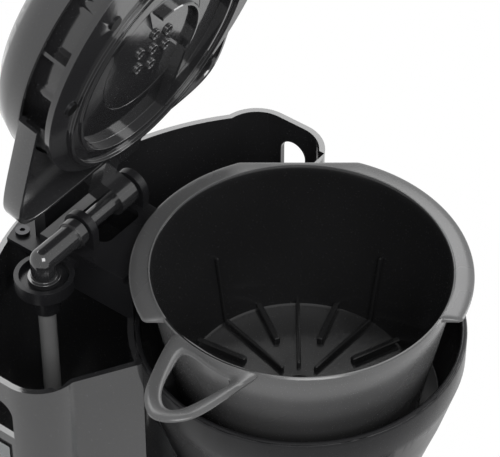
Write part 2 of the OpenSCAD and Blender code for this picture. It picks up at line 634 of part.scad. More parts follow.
// Switch, lamp and cord gland
module switch_body() color(black) placed() difference() {
    translate([-switch_w / 2, -base_front_r - 0.5, switch_z - switch_h / 2]) cube([switch_w, 18, switch_h]);
    translate([-switch_w / 2 + 2, -base_front_r - 1, switch_z - switch_h / 2 + 1.5])
        cube([switch_w - 4, 9, switch_h - 3]);
    translate([-switch_w / 2 + 0.5, rocker_y, switch_z]) across(pivot_r + run, switch_w - 1);
}
module switch_rocker() color([0.15, 0.15, 0.15]) placed() {
    translate([-switch_w / 2 + 2 + gap, rocker_y, switch_z]) rotate([90, 0, 90])
        linear_extrude(switch_w - 4 - 2 * gap)
        polygon([[-4, 5.4], [-5, 0], [-4, -5.4], [1.5, -5.2], [3, 0], [1.5, 5.2]]);
    translate([-switch_w / 2 + 1, rocker_y, switch_z]) across(pivot_r, switch_w - 2);
}
module lamp_lens() color([0.5, 0.1, 0.05]) placed() translate([lamp_x, -base_front_r + 2, switch_z]) along(lamp_r, 6);
module cord_gland() color("dimgray") placed() difference() {
    union() {
        translate([gland_x, gland_y, gland_z]) along(gland_r, 10);
        translate([gland_x, gland_y + 8.7, gland_z]) along(gland_r + 2, 5.3);
        translate([gland_x, gland_y + 14, gland_z]) along(gland_r - 0.5, 2.5);
        translate([gland_x, gland_y - 2, gland_z]) along(gland_r + 2, 2);
    }
    translate([gland_x, gland_y - 10, gland_z]) along(2.8, 60);
}

// Carafe
module carafe_glass() color(clear) placed() rotate_extrude($fn=144)
    polygon([[0, carafe_z], [glass_r - 8, carafe_z], [glass_r - 2, carafe_z + 8], [glass_r, carafe_z + 30],
        [glass_r - 5, 100], [neck_r + 4, 112], [neck_r, 117], [neck_r, glass_top], [neck_r - glass_wall, glass_top],
        [neck_r - glass_wall, 117], [neck_r + 4 - glass_wall, 111], [glass_r - 5 - glass_wall, 99],
        [glass_r - glass_wall, carafe_z + 30], [glass_r - 2 - glass_wall, carafe_z + 8.5],
        [glass_r - 7 - glass_wall, carafe_z + glass_wall], [0, carafe_z + glass_wall]]);
module carafe_band() color(steel) placed() difference() {
    union() {
        translate([0, 0, band_z]) ring(neck_r + band_t, neck_r, band_h);
        for (s = [-1, 1]) translate([s * 8.5 - 1, -neck_r - 12, band_z]) cube([2, 12.5, band_h]);
    }
    translate([-20, pin_y, pin_z]) across(pin_r, 40);
}
module carafe_handle() color(black) placed() difference() {
    translate([-7, 0, 0]) rotate([90, 0, 90]) linear_extrude(14)
        polygon([[-neck_r - 3, 116], [-neck_r - 3, 128], [-80, 128], [-96, 124], [front_y, 112], [-102, 80],
            [-94, 56], [-88, 54], [-86, 60], [-92, 82], [-92, 108], [-86, 114], [-60, 115]]);
    translate([-20, pin_y, pin_z]) across(pin_r, 40);
}
module carafe_screw() color(steel) placed() {
    translate([-9.5, pin_y, pin_z]) across(pin_r, 19);
    for (x = [-11, 9.5]) translate([x, pin_y, pin_z]) across(3, 1.5);
}
module carafe_lid() color(black) placed() difference() {
    union() {
        translate([0, 0, glass_top + gap]) cylinder(r=neck_r + 1, h=3);
        translate([0, 0, glass_top - 7]) ring(neck_r - glass_wall - gap, neck_r - glass_wall - 3, 8);
        translate([0, 0, glass_top + 3]) cylinder(r1=20, r2=12, h=5);
        translate([-8, -neck_r - 10, glass_top + 1]) cube([16, 14, 2.3]);
    }
    translate([0, 0, glass_top - 10]) cylinder(r=3, h=50);
    translate([0, 0, glass_top + 6]) cylinder(r=10, h=50);
}

base_shell();
base_cover();
feet();
base_screws();
plate_ring();
warming_plate();
heater();
water_tube();
plate_bracket();
thermostat();
thermal_fuse();
body_shell();
tank_windows();
deck();
deck_screws();
bowl_housing();
cold_hose_lower();
cold_hose_upper();
check_valve_body();
check_ball();
hot_hose();
hose_clamps();
riser();
riser_bracket();
elbow();
o_rings();
hinge_tube();
lid_shell();
lid_cover();
lid_frame();
spray_disc();
water_arm();
lid_screws();
basket();
valve_body();
valve_plunger();
valve_seal();
valve_spring();
switch_body();
switch_rocker();
lamp_lens();
cord_gland();
carafe_glass();
carafe_band();
carafe_handle();
carafe_screw();
carafe_lid();
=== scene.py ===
import math

import bmesh
import bpy
from mathutils import Matrix, Vector
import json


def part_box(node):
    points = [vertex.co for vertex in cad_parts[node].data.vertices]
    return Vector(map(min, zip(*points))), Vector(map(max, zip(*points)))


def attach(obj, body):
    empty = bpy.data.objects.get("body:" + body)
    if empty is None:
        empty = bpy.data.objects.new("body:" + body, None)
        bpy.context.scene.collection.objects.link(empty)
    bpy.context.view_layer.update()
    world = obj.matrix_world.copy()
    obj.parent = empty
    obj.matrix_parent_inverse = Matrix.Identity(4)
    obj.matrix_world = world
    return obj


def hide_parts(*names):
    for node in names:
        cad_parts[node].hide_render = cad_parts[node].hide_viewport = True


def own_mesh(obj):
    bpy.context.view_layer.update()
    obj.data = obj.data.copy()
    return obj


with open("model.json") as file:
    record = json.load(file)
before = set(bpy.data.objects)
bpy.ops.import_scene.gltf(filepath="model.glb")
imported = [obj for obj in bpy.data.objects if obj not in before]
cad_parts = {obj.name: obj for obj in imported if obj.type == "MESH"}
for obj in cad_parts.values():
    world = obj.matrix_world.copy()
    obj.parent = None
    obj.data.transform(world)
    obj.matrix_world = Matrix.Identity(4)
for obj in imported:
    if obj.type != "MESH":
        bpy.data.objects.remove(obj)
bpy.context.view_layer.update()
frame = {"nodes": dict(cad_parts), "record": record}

# Camera: a long lens at the machine's front left, looking down into the open brew bowl. Its place is
# measured from the bowl's axis and the basket's rim, so the view follows them if the part changes.
rim_lo, rim_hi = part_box("bowl_housing")
bowl_mid = (rim_lo + rim_hi) / 2
basket_axis = Vector((bowl_mid.x, bowl_mid.y, 0))
basket_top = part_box("basket")[1].z
bowl_top = rim_hi.z
azimuth = math.radians(-52.57)
elevation = math.radians(43.03)
aim_right, aim_up, camera_distance = -0.0200, 0.01487, 0.9684
camera_right = Vector((math.cos(azimuth), math.sin(azimuth), 0))
camera_back = Vector((math.sin(azimuth) * math.cos(elevation), -math.cos(azimuth) * math.cos(elevation),
                      math.sin(elevation)))
camera_up = camera_back.cross(camera_right)
camera_data = bpy.data.cameras.new("camera")
camera_data.lens = 180
camera_data.sensor_width = 36
camera_data.clip_end = 20
camera = bpy.data.objects.new("camera", camera_data)
aim = basket_axis + Vector((0, 0, basket_top)) + camera_right * aim_right + camera_up * aim_up
camera.location = aim + camera_back * camera_distance
camera.rotation_mode = "QUATERNION"
camera.rotation_quaternion = Matrix((camera_right, camera_up, camera_back)).transposed().to_quaternion()
bpy.context.scene.collection.objects.link(camera)
bpy.context.scene.camera = camera

# Base: the glossy plastic shell that stands on four rubber feet, with the power switch and its red lamp.
# The shell is moulded in one piece, and its bottom cover is held on by four zinc-plated screws.


# Shader maths: a socket wrapped so that sums and products read as formulas. One method adds any other
# node: its settings come first, then the values or links of its sockets, in their order or by name.
class Socket:
    def __init__(self, tree, socket=None):
        self.tree = tree
        self.socket = socket

    def node(self, kind, settings=None, *ordered, **named):
        node = self.tree.nodes.new(kind)
        for setting, value in (settings or {}).items():
            setattr(node, setting, value)
        for slot, value in zip((slot for slot in node.inputs if slot.enabled), ordered):
            plug(self.tree, slot, value)
        for name, value in named.items():
            plug(self.tree, node.inputs[name], value)
        return Socket(self.tree, next(slot for slot in node.outputs if slot.enabled))

    def output(self, name):
        return Socket(self.tree, self.socket.node.outputs[name])

    def maths(self, operation, *others):
        return self.node("ShaderNodeMath", {"operation": operation}, self, *others)

    def __add__(self, other):
        return self.maths("ADD", other)

    def __mul__(self, other):
        return self.maths("MULTIPLY", other)

    __radd__, __rmul__ = __add__, __mul__

    def clamped(self, low, high, to_low=0.0, to_high=1.0):
        smooth = {"interpolation_type": "SMOOTHSTEP"}
        return self.node("ShaderNodeMapRange", smooth, self, low, high, to_low, to_high)


def plug(tree, slot, value):
    if isinstance(value, Socket):
        tree.links.new(value.socket, slot)
    else:
        slot.default_value = value


def shader(name):
    """A new material's tree as (material, object coordinates, its Principled shader)."""
    material = bpy.data.materials.new(name)
    material.use_nodes = True
    place = Socket(material.node_tree).node("ShaderNodeTexCoord").output("Object")
    return material, place, material.node_tree.nodes["Principled BSDF"]


def plastic(name, colour, roughness, peel=0.05, smudge=0.10, dust=0.02, ior=1.5):
    """Moulded plastic: orange peel under the gloss, faint smudges in it and a little dust."""
    material, place, surface = shader(name)
    wide = place.node("ShaderNodeTexNoise", Vector=place, Scale=18.0, Detail=3.0)
    fine = place.node("ShaderNodeTexNoise", Vector=place, Scale=260.0, Detail=2.0)
    specks = place.node("ShaderNodeTexNoise", Vector=place, Scale=1900.0, Detail=1.0)
    speck = specks.clamped(0.70, 0.76)
    shade = wide.clamped(0.3, 0.7, 0.88, 1.12)
    tone = place.node("ShaderNodeCombineColor", Red=shade * colour[0] + speck * dust,
                      Green=shade * colour[1] + speck * dust, Blue=shade * colour[2] + speck * dust)
    plug(material.node_tree, surface.inputs["Base Color"], tone)
    plug(material.node_tree, surface.inputs["Roughness"],
         wide.clamped(0.45, 0.75, roughness, roughness + smudge) + speck * 0.2)
    surface.inputs["IOR"].default_value = ior
    bump = place.node("ShaderNodeBump", Height=fine, Strength=peel, Distance=0.0004)
    plug(material.node_tree, surface.inputs["Normal"], bump)
    return material


def metal(name, colour, roughness, stretch=(1, 1, 1), grain=0.15):
    """Metal with a drawn or cast grain: noise stretched along the brushing."""
    material, place, surface = shader(name)
    mapped = place.node("ShaderNodeMapping", Vector=place, Scale=stretch)
    lines = place.node("ShaderNodeTexNoise", Vector=mapped, Scale=900.0, Detail=3.0)
    wide = place.node("ShaderNodeTexNoise", Vector=place, Scale=30.0, Detail=2.0)
    shade = lines.clamped(0.3, 0.7, 0.85, 1.1)
    tone = place.node("ShaderNodeCombineColor", Red=shade * colour[0], Green=shade * colour[1],
                      Blue=shade * colour[2])
    plug(material.node_tree, surface.inputs["Base Color"], tone)
    worn = lines.clamped(0.2, 0.8, roughness, roughness + grain) + wide.clamped(0.4, 0.8, 0.0, 0.08)
    plug(material.node_tree, surface.inputs["Roughness"], worn)
    surface.inputs["Metallic"].default_value = 1.0
    bump = place.node("ShaderNodeBump", Height=lines, Strength=0.08, Distance=0.0002)
    plug(material.node_tree, surface.inputs["Normal"], bump)
    return material


def matte(name, colour, roughness, grain=420.0, depth=0.2):
    """Rubber, silicone, ceramic or paint: an even tone, mottled, over a fine grain."""
    material, place, surface = shader(name)
    wide = place.node("ShaderNodeTexNoise", Vector=place, Scale=40.0, Detail=4.0)
    fine = place.node("ShaderNodeTexNoise", Vector=place, Scale=grain, Detail=3.0)
    shade = wide.clamped(0.25, 0.75, 0.85, 1.15)
    tone = place.node("ShaderNodeCombineColor", Red=shade * colour[0], Green=shade * colour[1],
                      Blue=shade * colour[2])
    plug(material.node_tree, surface.inputs["Base Color"], tone)
    rough = fine.clamped(0.2, 0.8, roughness - 0.08, roughness + 0.08)
    plug(material.node_tree, surface.inputs["Roughness"], rough)
    bump = place.node("ShaderNodeBump", Height=fine, Strength=depth, Distance=0.0003)
    plug(material.node_tree, surface.inputs["Normal"], bump)
    return material


def clear(name, colour, ior=1.47):
    """Glass or clear plastic, a little smeared."""
    material, place, surface = shader(name)
    smear = place.node("ShaderNodeTexNoise", Vector=place, Scale=25.0, Detail=4.0)
    surface.inputs["Base Color"].default_value = (*colour, 1)
    surface.inputs["Transmission Weight"].default_value = 1.0
    surface.inputs["IOR"].default_value = ior
    plug(material.node_tree, surface.inputs["Roughness"], smear.clamped(0.5, 0.8, 0.01, 0.06))
    return material


def dress(material, *nodes):
    """Gives CAD nodes one material and no other."""
    for name in nodes:
        mesh = frame["nodes"][name].data
        mesh.materials.clear()
        mesh.materials.append(material)


def add_piece(name, mesh, material, body, slot, *nodes):
    """Puts a finished mesh in the scene, riding on its body and standing for its CAD nodes."""
    piece = bpy.data.objects.new(name, mesh)
    mesh.materials.clear()
    mesh.materials.append(material)
    bpy.context.scene.collection.objects.link(piece)
    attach(piece, body)
    if nodes:
        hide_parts(*nodes)
    return piece


def moulded(node, material, body, slot, edge=0.0006, steps=2):
    """A CAD node as it comes out of its mould: the same shape, with its sharp edges rounded over."""
    weld, flat, sharp, bevelled = 2e-6, math.radians(0.4), math.radians(32), math.radians(34)
    mesh = frame["nodes"][node].data.copy()
    shape = bmesh.new()
    shape.from_mesh(mesh)
    bmesh.ops.remove_doubles(shape, verts=shape.verts, dist=weld)
    bmesh.ops.dissolve_limit(shape, angle_limit=flat, verts=shape.verts, edges=shape.edges)
    shape.to_mesh(mesh)
    shape.free()
    mesh.shade_smooth()
    mesh.set_sharp_from_angle(angle=sharp)
    piece = add_piece(node + "_moulded", mesh, material, body, slot, node)
    bevel = piece.modifiers.new("rounded_edges", "BEVEL")
    bevel.width = edge
    bevel.segments = steps
    bevel.limit_method = "ANGLE"
    bevel.angle_limit = bevelled
    bevel.harden_normals = True


gloss_black = plastic("gloss_black", (0.018, 0.018, 0.019), 0.08, ior=1.70)
rubber = matte("rubber", (0.03, 0.03, 0.03), 0.75)
zinc = metal("screw_steel", (0.55, 0.55, 0.57), 0.3)
moulded("base_shell", gloss_black, "machine", "gloss_black", 0.0008)
moulded("switch_body", gloss_black, "machine", "gloss_black", 0.0004)
moulded("switch_rocker", gloss_black, "rocker", "gloss_black", 0.0005)
dress(gloss_black, "base_cover")
dress(rubber, "feet", "cord_gland")
dress(zinc, "base_screws")
dress(clear("red_lens", (0.7, 0.05, 0.03), 1.49), "lamp_lens")

# Warming plate and what heats it: a coated steel plate in its ring, the cast heater with its water
# tube, the strap that holds them up, and the thermostat and fuse.
dress(matte("dark_plate", (0.02, 0.02, 0.02), 0.45, 700.0, 0.1), "warming_plate")
grey_plastic = plastic("grey_plastic", (0.030, 0.030, 0.031), 0.16)
moulded("plate_ring", grey_plastic, "machine", "grey_plastic", 0.0005)
dress(metal("aluminium", (0.62, 0.62, 0.63), 0.45, grain=0.2), "heater", "water_tube")
brushed_steel = metal("steel", (0.6, 0.6, 0.61), 0.22, stretch=(0.05, 1, 1))
dress(brushed_steel, "plate_bracket")
ceramic = matte("ceramic", (0.6, 0.6, 0.57), 0.5)
dress(ceramic, "thermostat", "thermal_fuse")

# Body and bowl: the body with its tank is one glossy black moulding, and the bowl that the basket stands
# in is satin. Both have rounded rims, and the clear level windows are glued into the body's ends.
moulded("body_shell", gloss_black, "machine", "gloss_black", 0.00115, 4)
satin_black = plastic("satin_black", (0.010, 0.010, 0.011), 0.26, ior=1.28)
moulded("bowl_housing", satin_black, "machine", "gloss_black", 0.0011, 4)
dress(clear("clear_window", (0.8, 0.83, 0.84), 1.49), "tank_windows")

# Water path: hoses and the check valve under the tank, and the riser tube that carries the hot water
# up through its bracket into the elbow. The deck with its two ears is screwed to the back wall.
silicone = matte("silicone", (0.5, 0.5, 0.47), 0.5)
dress(silicone, "cold_hose_lower", "cold_hose_upper", "hot_hose")
dress(brushed_steel, "hose_clamps")
ivory = plastic("ivory", (0.6, 0.57, 0.48), 0.3)
dress(ivory, "check_valve_body")
dress(ceramic, "check_ball")
dress(rubber, "o_rings")
blackened_steel = metal("blackened_steel", (0.045, 0.045, 0.047), 0.32)
dress(blackened_steel, "deck_screws")
dress(matte("riser_grey", (0.16, 0.16, 0.16), 0.4), "riser")
for node, material in (("deck", satin_black), ("riser_bracket", satin_black), ("elbow", gloss_black)):
    moulded(node, material, "machine", "gloss_black", 0.0006)

# Lid: the plastic dome, the ribbed frame screwed under it, the inner cover with its recess, the spray disc
# and the arm that brings it water. What is drawn below is drawn on the closed lid and turned up.
hinge = next(joint for joint in frame["record"]["behaviour"]["joints"] if joint["name"] == "lid_hinge")
hinge_place = Vector(hinge["pos_m"])
opening = Matrix.Rotation(math.radians(hinge["range_deg"][0]), 3, "X")
lid_gloss = plastic("lid_gloss", (0.016, 0.016, 0.017), 0.05, peel=0.03, smudge=0.06, ior=1.6)
for node in ("lid_shell", "lid_frame", "lid_cover", "spray_disc", "water_arm", "hinge_tube"):
    moulded(node, lid_gloss if node == "lid_cover" else gloss_black, "lid", "gloss_black", 0.0006, 3)
dress(blackened_steel, "lid_screws")
mm = 0.001


def build_mesh(name, points, faces):
    """A closed mesh with its faces turned outwards, shaded smooth up to its sharp edges."""
    mesh = bpy.data.meshes.new(name)
    mesh.from_pydata([tuple(p) for p in points], [], faces)
    shape = bmesh.new()
    shape.from_mesh(mesh)
    bmesh.ops.remove_doubles(shape, verts=shape.verts, dist=1e-7)
    bmesh.ops.recalc_face_normals(shape, faces=shape.faces)
    shape.to_mesh(mesh)
    shape.free()
    mesh.shade_smooth()
    mesh.set_sharp_from_angle(angle=math.radians(38))
    return mesh


def opened(x, y, z):
    """A point of the closed lid, in millimetres from the basket's axis, where the open lid has it."""
    point = basket_axis + Vector((x, y, z)) * mm
    return hinge_place + opening @ (point - hinge_place)


def lid_rail(name, route, low, high):
    """A raised rail under the lid's recess that follows a route, with a rounded crest."""
    width, crest, step = 1.6, 0.28, 0.4
    across = ((-0.5, high), (-0.5, low + step), (-crest, low), (crest, low), (0.5, low + step), (0.5, high))
    size = len(across)
    points, faces = [], []
    for i, (x, y) in enumerate(route):
        x0, y0 = route[max(i - 1, 0)]
        x1, y1 = route[min(i + 1, len(route) - 1)]
        length = math.hypot(x1 - x0, y1 - y0)
        side = (-(y1 - y0) / length, (x1 - x0) / length)
        points += [opened(x + side[0] * width * u, y + side[1] * width * u, z) for u, z in across]
    for i in range(len(route) - 1):
        for k in range(size):
            a, b = i * size + k, i * size + (k + 1) % size
            faces.append((a, b, b + size, a + size))
    faces += [tuple(range(size)), tuple(range(len(points) - size, len(points)))]
    add_piece(name, build_mesh(name, points, faces), gloss_black, "lid", "gloss_black")


cup_floor = 260.5
rail_top = cup_floor + 0.2
hook_low, blade_low = 257.8, 256.2
hook_mid, hook_r = (2.0, 11.0), 23.5
hook = [(hook_mid[0] + hook_r * math.cos(math.radians(t)), hook_mid[1] + hook_r * math.sin(math.radians(t)))
        for t in range(-100, 29, 8)]
blade = [(19.0 - 0.16 * k, 20.0 + k) for k in range(0, 31, 6)]
lid_rail("spray_hook", hook, hook_low, rail_top)
lid_rail("spray_blade", blade, blade_low, rail_top)


# Shoulders of the lid: behind the round dome its moulding runs on to two square corners over the tank,
# as a thin shelf with a skirt turned down all along its edge.
def lofted(name, rings, closed):
    """Joins equal rings of points into a shell; closed also joins the last ring to the first."""
    size = len(rings[0])
    points = [point for ring in rings for point in ring]
    faces = []
    for i in range(len(rings) if closed else len(rings) - 1):
        for k in range(size):
            a, b = i * size + k, i * size + (k + 1) % size
            c, d = (i + 1) % len(rings) * size + k, (i + 1) % len(rings) * size + (k + 1) % size
            faces.append((a, b, d, c))
    if not closed:
        faces += [tuple(range(size)), tuple(range(len(points) - size, len(points)))]
    return build_mesh(name, points, faces)


dome_skin_r, shoulder_x, shoulder_y, squareness = 61.8, 64.0, 74.0, 9
shelf_top, shelf_under, skirt_low, skirt_t = 271.9, 269.6, 263.0, 2.2
shoulder_rings = []
for degrees in range(8, 173, 2):
    angle = math.radians(degrees)
    out = (abs(math.cos(angle) / shoulder_x) ** squareness + (math.sin(angle) / shoulder_y) ** squareness)
    out **= -1 / squareness
    skirt_in = out - min(skirt_t, (out - dome_skin_r) * 0.5)
    section = ((dome_skin_r, shelf_under), (dome_skin_r, shelf_top), (out - 0.7, shelf_top),
               (out - 0.2, shelf_top - 0.3), (out, shelf_top - 0.9), (out, skirt_low + 0.4),
               (out - 0.3, skirt_low), (skirt_in + 0.2, skirt_low), (skirt_in, skirt_low + 0.3),
               (skirt_in, shelf_under))
    shoulder_rings.append([opened(r * math.cos(angle), r * math.sin(angle), z) for r, z in section])
add_piece("lid_shoulders", lofted("lid_shoulders", shoulder_rings, False), gloss_black, "lid", "gloss_black")


# Spray rings: Geometry Nodes set one small raised ring round each of the seven spray holes. They are
# moulded on the underside of the disc, and make the water drip clear of it.
def growing_tree(name, **sizes):
    """A Geometry Nodes tree with named sizes: the tree, its input node and each size's identifier."""
    tree = bpy.data.node_groups.new(name, "GeometryNodeTree")
    tree.is_modifier = True
    tree.interface.new_socket("Geometry", in_out="INPUT", socket_type="NodeSocketGeometry")
    inputs = {}
    for size, value in sizes.items():
        socket = tree.interface.new_socket(size, in_out="INPUT", socket_type="NodeSocketFloat")
        socket.default_value = value
        inputs[size] = socket.identifier
    tree.interface.new_socket("Geometry", in_out="OUTPUT", socket_type="NodeSocketGeometry")
    return tree, tree.nodes.new("NodeGroupInput"), inputs


def join_up(tree, *pairs):
    """Links each pair of an output and an input."""
    for source, target in pairs:
        tree.links.new(source, target)


def plant(tree, given, shape, rotation, material):
    """Ends a tree: sets the shape on each given point, makes the copies real and paints them."""
    place = tree.nodes.new("GeometryNodeInstanceOnPoints")
    real = tree.nodes.new("GeometryNodeRealizeInstances")
    paint = tree.nodes.new("GeometryNodeSetMaterial")
    result = tree.nodes.new("NodeGroupOutput")
    paint.inputs["Material"].default_value = material
    join_up(tree, (given.outputs["Geometry"], place.inputs["Points"]), (shape, place.inputs["Instance"]),
            (rotation, place.inputs["Rotation"]), (place.outputs["Instances"], real.inputs["Geometry"]),
            (real.outputs["Geometry"], paint.inputs["Geometry"]),
            (paint.outputs["Geometry"], result.inputs["Geometry"]))


def ring_tree(material):
    """Grows a round ring on each point: its Radius, the Thickness of its wire and its Lean about X."""
    tree, given, inputs = growing_tree("spray_rings", Radius=0.002, Thickness=0.0004, Lean=0.0)
    hoop = tree.nodes.new("GeometryNodeCurvePrimitiveCircle")
    wire = tree.nodes.new("GeometryNodeCurvePrimitiveCircle")
    hoop.inputs["Resolution"].default_value = 40
    wire.inputs["Resolution"].default_value = 10
    ring = tree.nodes.new("GeometryNodeCurveToMesh")
    lean = tree.nodes.new("ShaderNodeCombineXYZ")
    join_up(tree, (given.outputs["Radius"], hoop.inputs["Radius"]),
            (given.outputs["Thickness"], wire.inputs["Radius"]),
            (hoop.outputs["Curve"], ring.inputs["Curve"]),
            (wire.outputs["Curve"], ring.inputs["Profile Curve"]), (given.outputs["Lean"], lean.inputs["X"]))
    plant(tree, given, ring.outputs["Mesh"], lean.outputs[0], material)
    return tree, inputs


def grown(name, places, tree, values, facing=None):
    """The plain mesh that a Geometry Nodes tree grows on the given places."""
    seeds = bpy.data.meshes.new(name + "_places")
    seeds.from_pydata([tuple(place) for place in places], [], [])
    if facing:
        turned = seeds.attributes.new("facing", "FLOAT_VECTOR", "POINT")
        for k, angles in enumerate(facing):
            turned.data[k].vector = angles
    holder = bpy.data.objects.new(name + "_places", seeds)
    bpy.context.scene.collection.objects.link(holder)
    grow = holder.modifiers.new("grow", "NODES")
    grow.node_group = tree
    for key, value in values.items():
        grow[key] = value
    bpy.context.view_layer.update()
    mesh = bpy.data.meshes.new_from_object(holder.evaluated_get(bpy.context.evaluated_depsgraph_get()))
    bpy.data.objects.remove(holder)
    return mesh


spray_y, spray_pitch, spray_turn, outer_holes = 8.0, 9.5, -37.0, 6
spray_holes = [(0.0, 0.0)] + [(spray_pitch * math.cos(math.radians(360 / outer_holes * i + spray_turn)),
                               spray_pitch * math.sin(math.radians(360 / outer_holes * i + spray_turn)))
                              for i in range(outer_holes)]
hole_boss, ring_r, ring_wire = 0.6, 0.00205, 0.00042
rings, ring_inputs = ring_tree(lid_gloss)
ring_places = [opened(x, spray_y + y, cup_floor - hole_boss) for x, y in spray_holes]
ring_mesh = grown("spray_rings", ring_places, rings,
                  {ring_inputs["Radius"]: ring_r, ring_inputs["Thickness"]: ring_wire,
                   ring_inputs["Lean"]: math.radians(hinge["range_deg"][0])})
ring_mesh.shade_smooth()
add_piece("spray_rings", ring_mesh, lid_gloss, "lid", "gloss_black")

# Basket: a tapered cup with a broad flange on three sides and a looped handle, moulded in one piece.
# The flange is crowned, with a fine bead along its inner edge, and falls away to its outer edge.
turn = math.radians(-52.5)
rim_z = basket_top * 1000
rim_r, wall, floor_r, cup_depth, drain_r = 58.5, 1.5, 47.0, 67.0, 6.0
floor_z = rim_z - cup_depth
flange_r, flange_flat, flange_cut = 67.0, 62.5, 28.5


def in_bowl(x, y, z):
    """A point of the basket, drawn with its handle at the front left, where the turned basket has it."""
    along, across = x * math.cos(turn) - y * math.sin(turn), x * math.sin(turn) + y * math.cos(turn)
    return basket_axis + Vector((along, across, z)) * mm


cup_line = ((drain_r, floor_z - 2), (floor_r + 0.5, floor_z - 2), (floor_r + wall, floor_z - 1),
            (rim_r + wall - 0.2, rim_z - 5), (rim_r + wall, rim_z - 3), (rim_r + wall, rim_z - 0.5),
            (rim_r + wall - 0.5, rim_z), (rim_r + 0.4, rim_z), (rim_r, rim_z - 0.5), (rim_r - 0.2, rim_z - 4),
            (floor_r + 0.8, floor_z + 2.5), (floor_r + 0.1, floor_z + 0.6), (floor_r - 1.0, floor_z),
            (drain_r, floor_z))
cup_facets = 160
cup_rings = [[in_bowl(r * math.cos(a), r * math.sin(a), z) for r, z in cup_line]
             for a in (math.tau * k / cup_facets for k in range(cup_facets))]
basket_cup = lofted("basket_cup", cup_rings, True)


def flange_edge(angle):
    """The flange's outer radius: a circle cut flat at the back and along its two front ends."""
    height = math.sin(angle)
    if height > 0:
        return min(flange_r, flange_flat / height)
    return min(flange_r, flange_cut / max(-height, 1e-6))


flange_rings = []
flange_steps = 240
flange_end = math.asin(flange_cut / (rim_r + 1.2))
for k in range(flange_steps + 1):
    angle = -flange_end + (math.pi + 2 * flange_end) * k / flange_steps
    inner, outer = rim_r + 0.3, max(flange_edge(angle), rim_r + 1.3)
    width = outer - inner
    lip = outer - min(0.3, width * 0.1)
    section = ((inner, rim_z - 2.0), (inner, rim_z - 0.1), (inner + 0.2, rim_z + 0.4),
               (inner + 0.45, rim_z + 0.5), (inner + min(0.75, width * 0.3), rim_z + 0.4),
               (inner + min(1.0, width * 0.4), rim_z - 0.05),
               (inner + width * 0.6, rim_z - 0.35), (outer - min(0.9, width * 0.2), rim_z - 0.8),
               (lip, rim_z - 1.1), (outer, rim_z - 1.5), (lip, rim_z - 2.0))
    flange_rings.append([in_bowl(r * math.cos(angle), r * math.sin(angle), z) for r, z in section])
basket_flange = lofted("basket_flange", flange_rings, False)

grip_mid = (-46.0, -62.0)
grip_outer = ((-44, -38), (-48, -34), (-52, -42), (-57, -56), (-59.5, -66), (-58, -75), (-54, -79),
              (-47, -80), (-39, -78), (-25, -65), (-16, -57), (-19, -55), (-32, -49))
grip_inner = ((-43, -45.5), (-46, -46), (-49, -53), (-52, -61), (-53, -68), (-51.5, -74), (-47, -75),
              (-41, -72), (-31, -64.5), (-26, -60.5), (-34, -55))


def rounded_loop(corners, rounds=3):
    """Corner cutting: each side keeps its middle half, so the loop turns into a smooth curve."""
    for _ in range(rounds):
        cut = []
        for k, (x0, y0) in enumerate(corners):
            x1, y1 = corners[(k + 1) % len(corners)]
            cut += [(x0 * 0.75 + x1 * 0.25, y0 * 0.75 + y1 * 0.25),
                    (x0 * 0.25 + x1 * 0.75, y0 * 0.25 + y1 * 0.75)]
        corners = cut
    return corners


def reach(loop, angle):
    """How far the loop is from the grip's middle in one direction."""
    ux, uy = math.cos(angle), math.sin(angle)
    best = 0.0
    for k, (x0, y0) in enumerate(loop):
        x1, y1 = loop[(k + 1) % len(loop)]
        ax, ay, bx, by = x0 - grip_mid[0], y0 - grip_mid[1], x1 - grip_mid[0], y1 - grip_mid[1]
        sa, sb = ux * ay - uy * ax, ux * by - uy * bx
        if sa * sb <= 0 and sa != sb:
            t = sa / (sa - sb)
            best = max(best, ux * (ax + t * (bx - ax)) + uy * (ay + t * (by - ay)))
    return best


outer_loop, inner_loop = rounded_loop(grip_outer), rounded_loop(grip_inner)
grip_section = ((0.0, -1.6), (0.0, -0.7), (0.12, -0.15), (0.35, 0.0), (0.65, 0.0), (0.88, -0.15), (1.0, -0.7),
                (1.0, -1.6), (0.85, -2.5), (0.15, -2.5))
grip_facets, grip_fall, fall_from = 180, 1.2, 0.3
grip_rings = []
for k in range(grip_facets):
    angle = math.tau * k / grip_facets
    near, far = reach(inner_loop, angle), reach(outer_loop, angle)
    fall = grip_fall * max(0.0, -math.cos(angle - fall_from))
    ring = []
    for u, z in grip_section:
        away = near + (far - near) * u
        ring.append(in_bowl(grip_mid[0] + math.cos(angle) * away, grip_mid[1] + math.sin(angle) * away,
                            rim_z + z - fall * u))
    grip_rings.append(ring)
basket_grip = lofted("basket_grip", grip_rings, True)


# Basket ribs: Geometry Nodes set one straight rib at each of the given places, turned to point at the
# basket's middle. Ribs on the floor lift the paper filter, and those up the wall hold it off.
def rib_tree(material):
    """Grows a straight rib on each point, turned as the point's attribute says."""
    tree, given, inputs = growing_tree("basket_ribs", Length=0.02, Thickness=0.0016, Height=0.003)
    size = tree.nodes.new("ShaderNodeCombineXYZ")
    block = tree.nodes.new("GeometryNodeMeshCube")
    facing = tree.nodes.new("GeometryNodeInputNamedAttribute")
    facing.data_type = "FLOAT_VECTOR"
    facing.inputs["Name"].default_value = "facing"
    join_up(tree, (given.outputs["Length"], size.inputs["X"]), (given.outputs["Thickness"], size.inputs["Y"]),
            (given.outputs["Height"], size.inputs["Z"]), (size.outputs[0], block.inputs["Size"]))
    plant(tree, given, block.outputs["Mesh"], facing.outputs["Attribute"], material)
    return tree, inputs


basket_grey = plastic("basket_grey", (0.012, 0.012, 0.0125), 0.17, ior=1.48)
# The second, lighter grey is a painted-light copy of the basket's plastic: the flange, the grip and the cup's
# outside are painted lighter where light falls on them, while the cup's inside and the ribs keep the darker
# grey.
lit_basket_grey = plastic("lit_basket_grey", (0.075, 0.075, 0.076), 0.24, ior=1.50)
ribs, rib_inputs = rib_tree(basket_grey)


